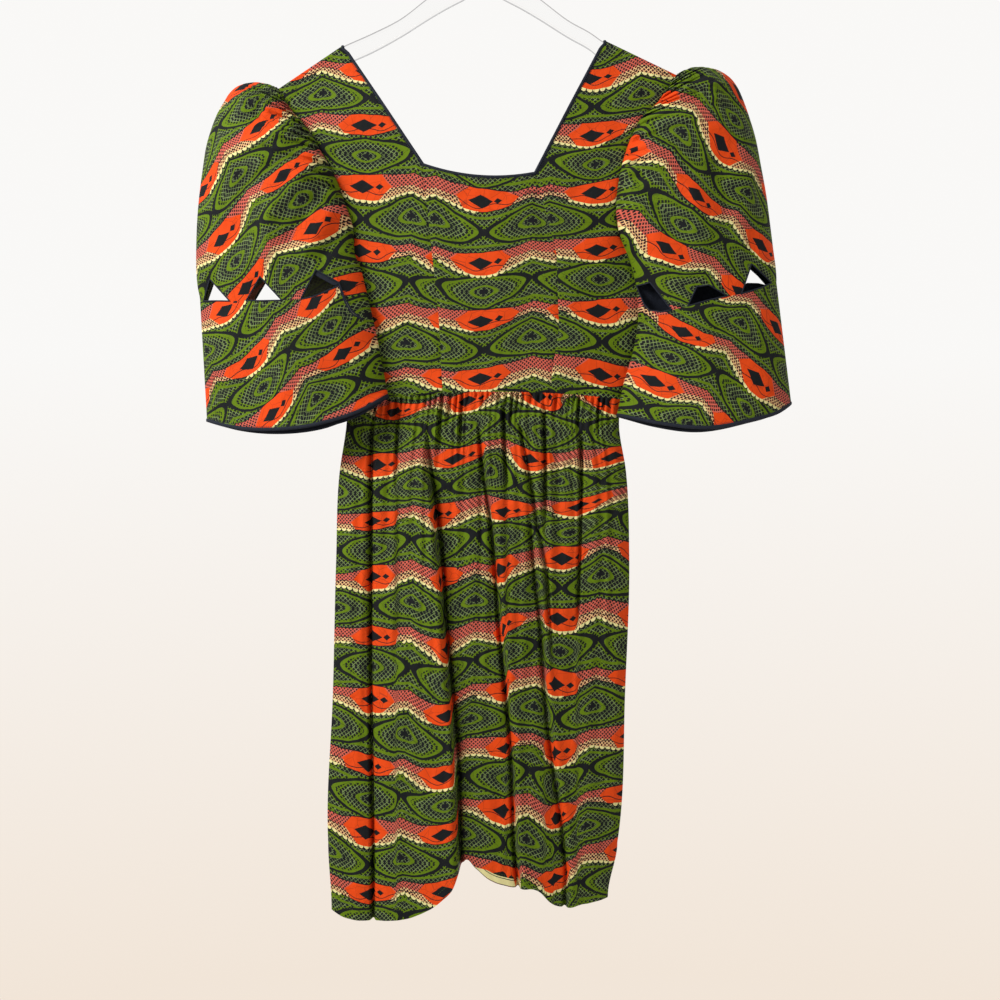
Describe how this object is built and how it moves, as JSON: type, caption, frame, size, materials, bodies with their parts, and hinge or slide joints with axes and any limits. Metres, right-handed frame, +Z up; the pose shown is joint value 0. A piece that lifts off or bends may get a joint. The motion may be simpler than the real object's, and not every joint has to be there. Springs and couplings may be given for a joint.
{
  "type": "ankara wax print dress on a hanger",
  "caption": "Ankara wax print dress with a square neck, puff sleeves with cut-out windows above flared cuffs, and a gathered skirt, on a clear hanger.",
  "frame": {"origin": "inner top of the hanger's hook, where it rests on a rail", "axes": "+Z up, +X to the right of someone who looks at the front, the front faces -Y"},
  "size_m": [0.6955, 0.0886, 1.1864],
  "materials": {
    "wax_print": "matt cotton with a slight wax glaze",
    "navy_binding": "matt cotton",
    "clear_plastic": "clear, polished",
    "hook_steel": "bright plated wire"
  },
  "bodies": {
    "root": {"bodice_front_centre": "wax_print", "bodice_front_side_left": "wax_print", "bodice_front_side_right": "wax_print", "bodice_back": "wax_print", "sleeve_left_front": "wax_print", "sleeve_left_back": "wax_print", "sleeve_right_front": "wax_print", "sleeve_right_back": "wax_print", "cuff_left_front": "wax_print", "cuff_left_back": "wax_print", "cuff_right_front": "wax_print", "cuff_right_back": "wax_print", "skirt_front": "wax_print", "skirt_back": "wax_print", "neck_binding_front": "navy_binding", "neck_binding_back": "navy_binding", "cuff_binding_left": "navy_binding", "cuff_binding_right": "navy_binding", "hanger_plate": "clear_plastic", "hanger_hook": "hook_steel"}
  },
  "joints": []
}
